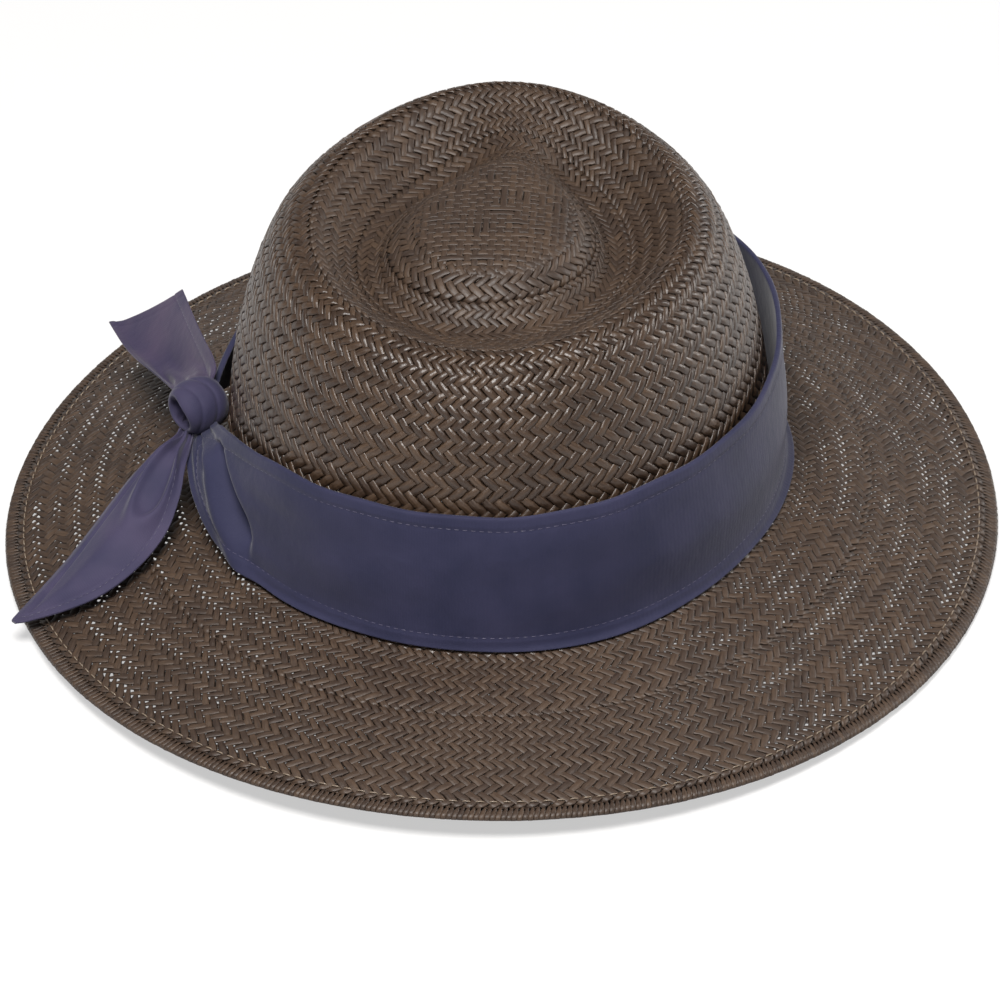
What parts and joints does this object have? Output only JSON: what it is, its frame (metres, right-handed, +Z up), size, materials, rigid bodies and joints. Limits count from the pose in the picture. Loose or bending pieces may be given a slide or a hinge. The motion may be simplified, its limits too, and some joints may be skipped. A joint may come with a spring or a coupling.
{
  "type": "woven straw fedora",
  "caption": "Wide-brimmed woven straw fedora with a teardrop crown and a knotted cloth scarf band at its left side.",
  "frame": {"origin": "on the surface that the hat lies on, under the middle of its brim", "axes": "+Z up, -Y towards the hat's front, +X towards the wearer's left, where the scarf is knotted"},
  "size_m": [0.3048, 0.3364, 0.1139],
  "materials": {
    "straw": "satin woven paper straw",
    "cotton": "matte cotton cloth"
  },
  "bodies": {
    "root": {"straw_body": "straw", "scarf_band": "cotton", "scarf_knot": "cotton", "tail_upper": "cotton", "tail_lower": "cotton"}
  },
  "joints": []
}
